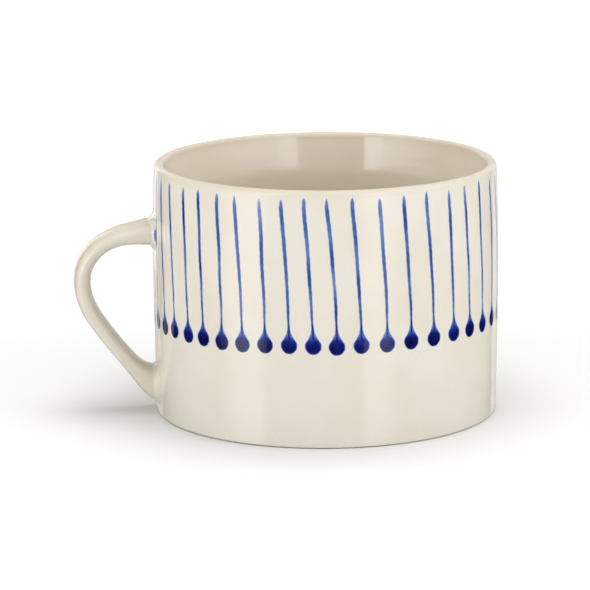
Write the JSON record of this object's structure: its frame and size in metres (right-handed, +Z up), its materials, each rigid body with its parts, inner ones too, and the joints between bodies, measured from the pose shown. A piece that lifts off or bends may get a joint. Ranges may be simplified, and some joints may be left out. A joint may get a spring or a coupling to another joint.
{
  "type": "stoneware mug",
  "caption": "Wide, low thrown stoneware mug with a pulled strap handle, cream glaze and thin cobalt brush strokes ending in round drops.",
  "frame": {"origin": "centre of the flat foot, on the cup's axis, in the plane the mug stands on", "axes": "+Z up along the cup's axis, -X from the axis towards the handle, +X away from the handle"},
  "size_m": [0.1355, 0.1102, 0.08],
  "materials": {
    "bare_clay": "fine-grained buff stoneware, unglazed and slightly rough",
    "liner_glaze": "glossy warm cream glaze",
    "cream_glaze": "glossy cream glaze",
    "cobalt_stroke": "mid blue cobalt wash under a glossy glaze",
    "cobalt_drop": "near-black navy cobalt pooled under a glossy glaze"
  },
  "bodies": {
    "root": {"cup_body": "bare_clay", "handle": "bare_clay", "upper_slip_joint": "cream_glaze", "lower_slip_joint": "cream_glaze", "liner_glaze": "liner_glaze", "outer_glaze": "cream_glaze", "handle_glaze": "cream_glaze", "brush_strokes": "cobalt_stroke", "paint_drops": "cobalt_drop"}
  },
  "joints": []
}
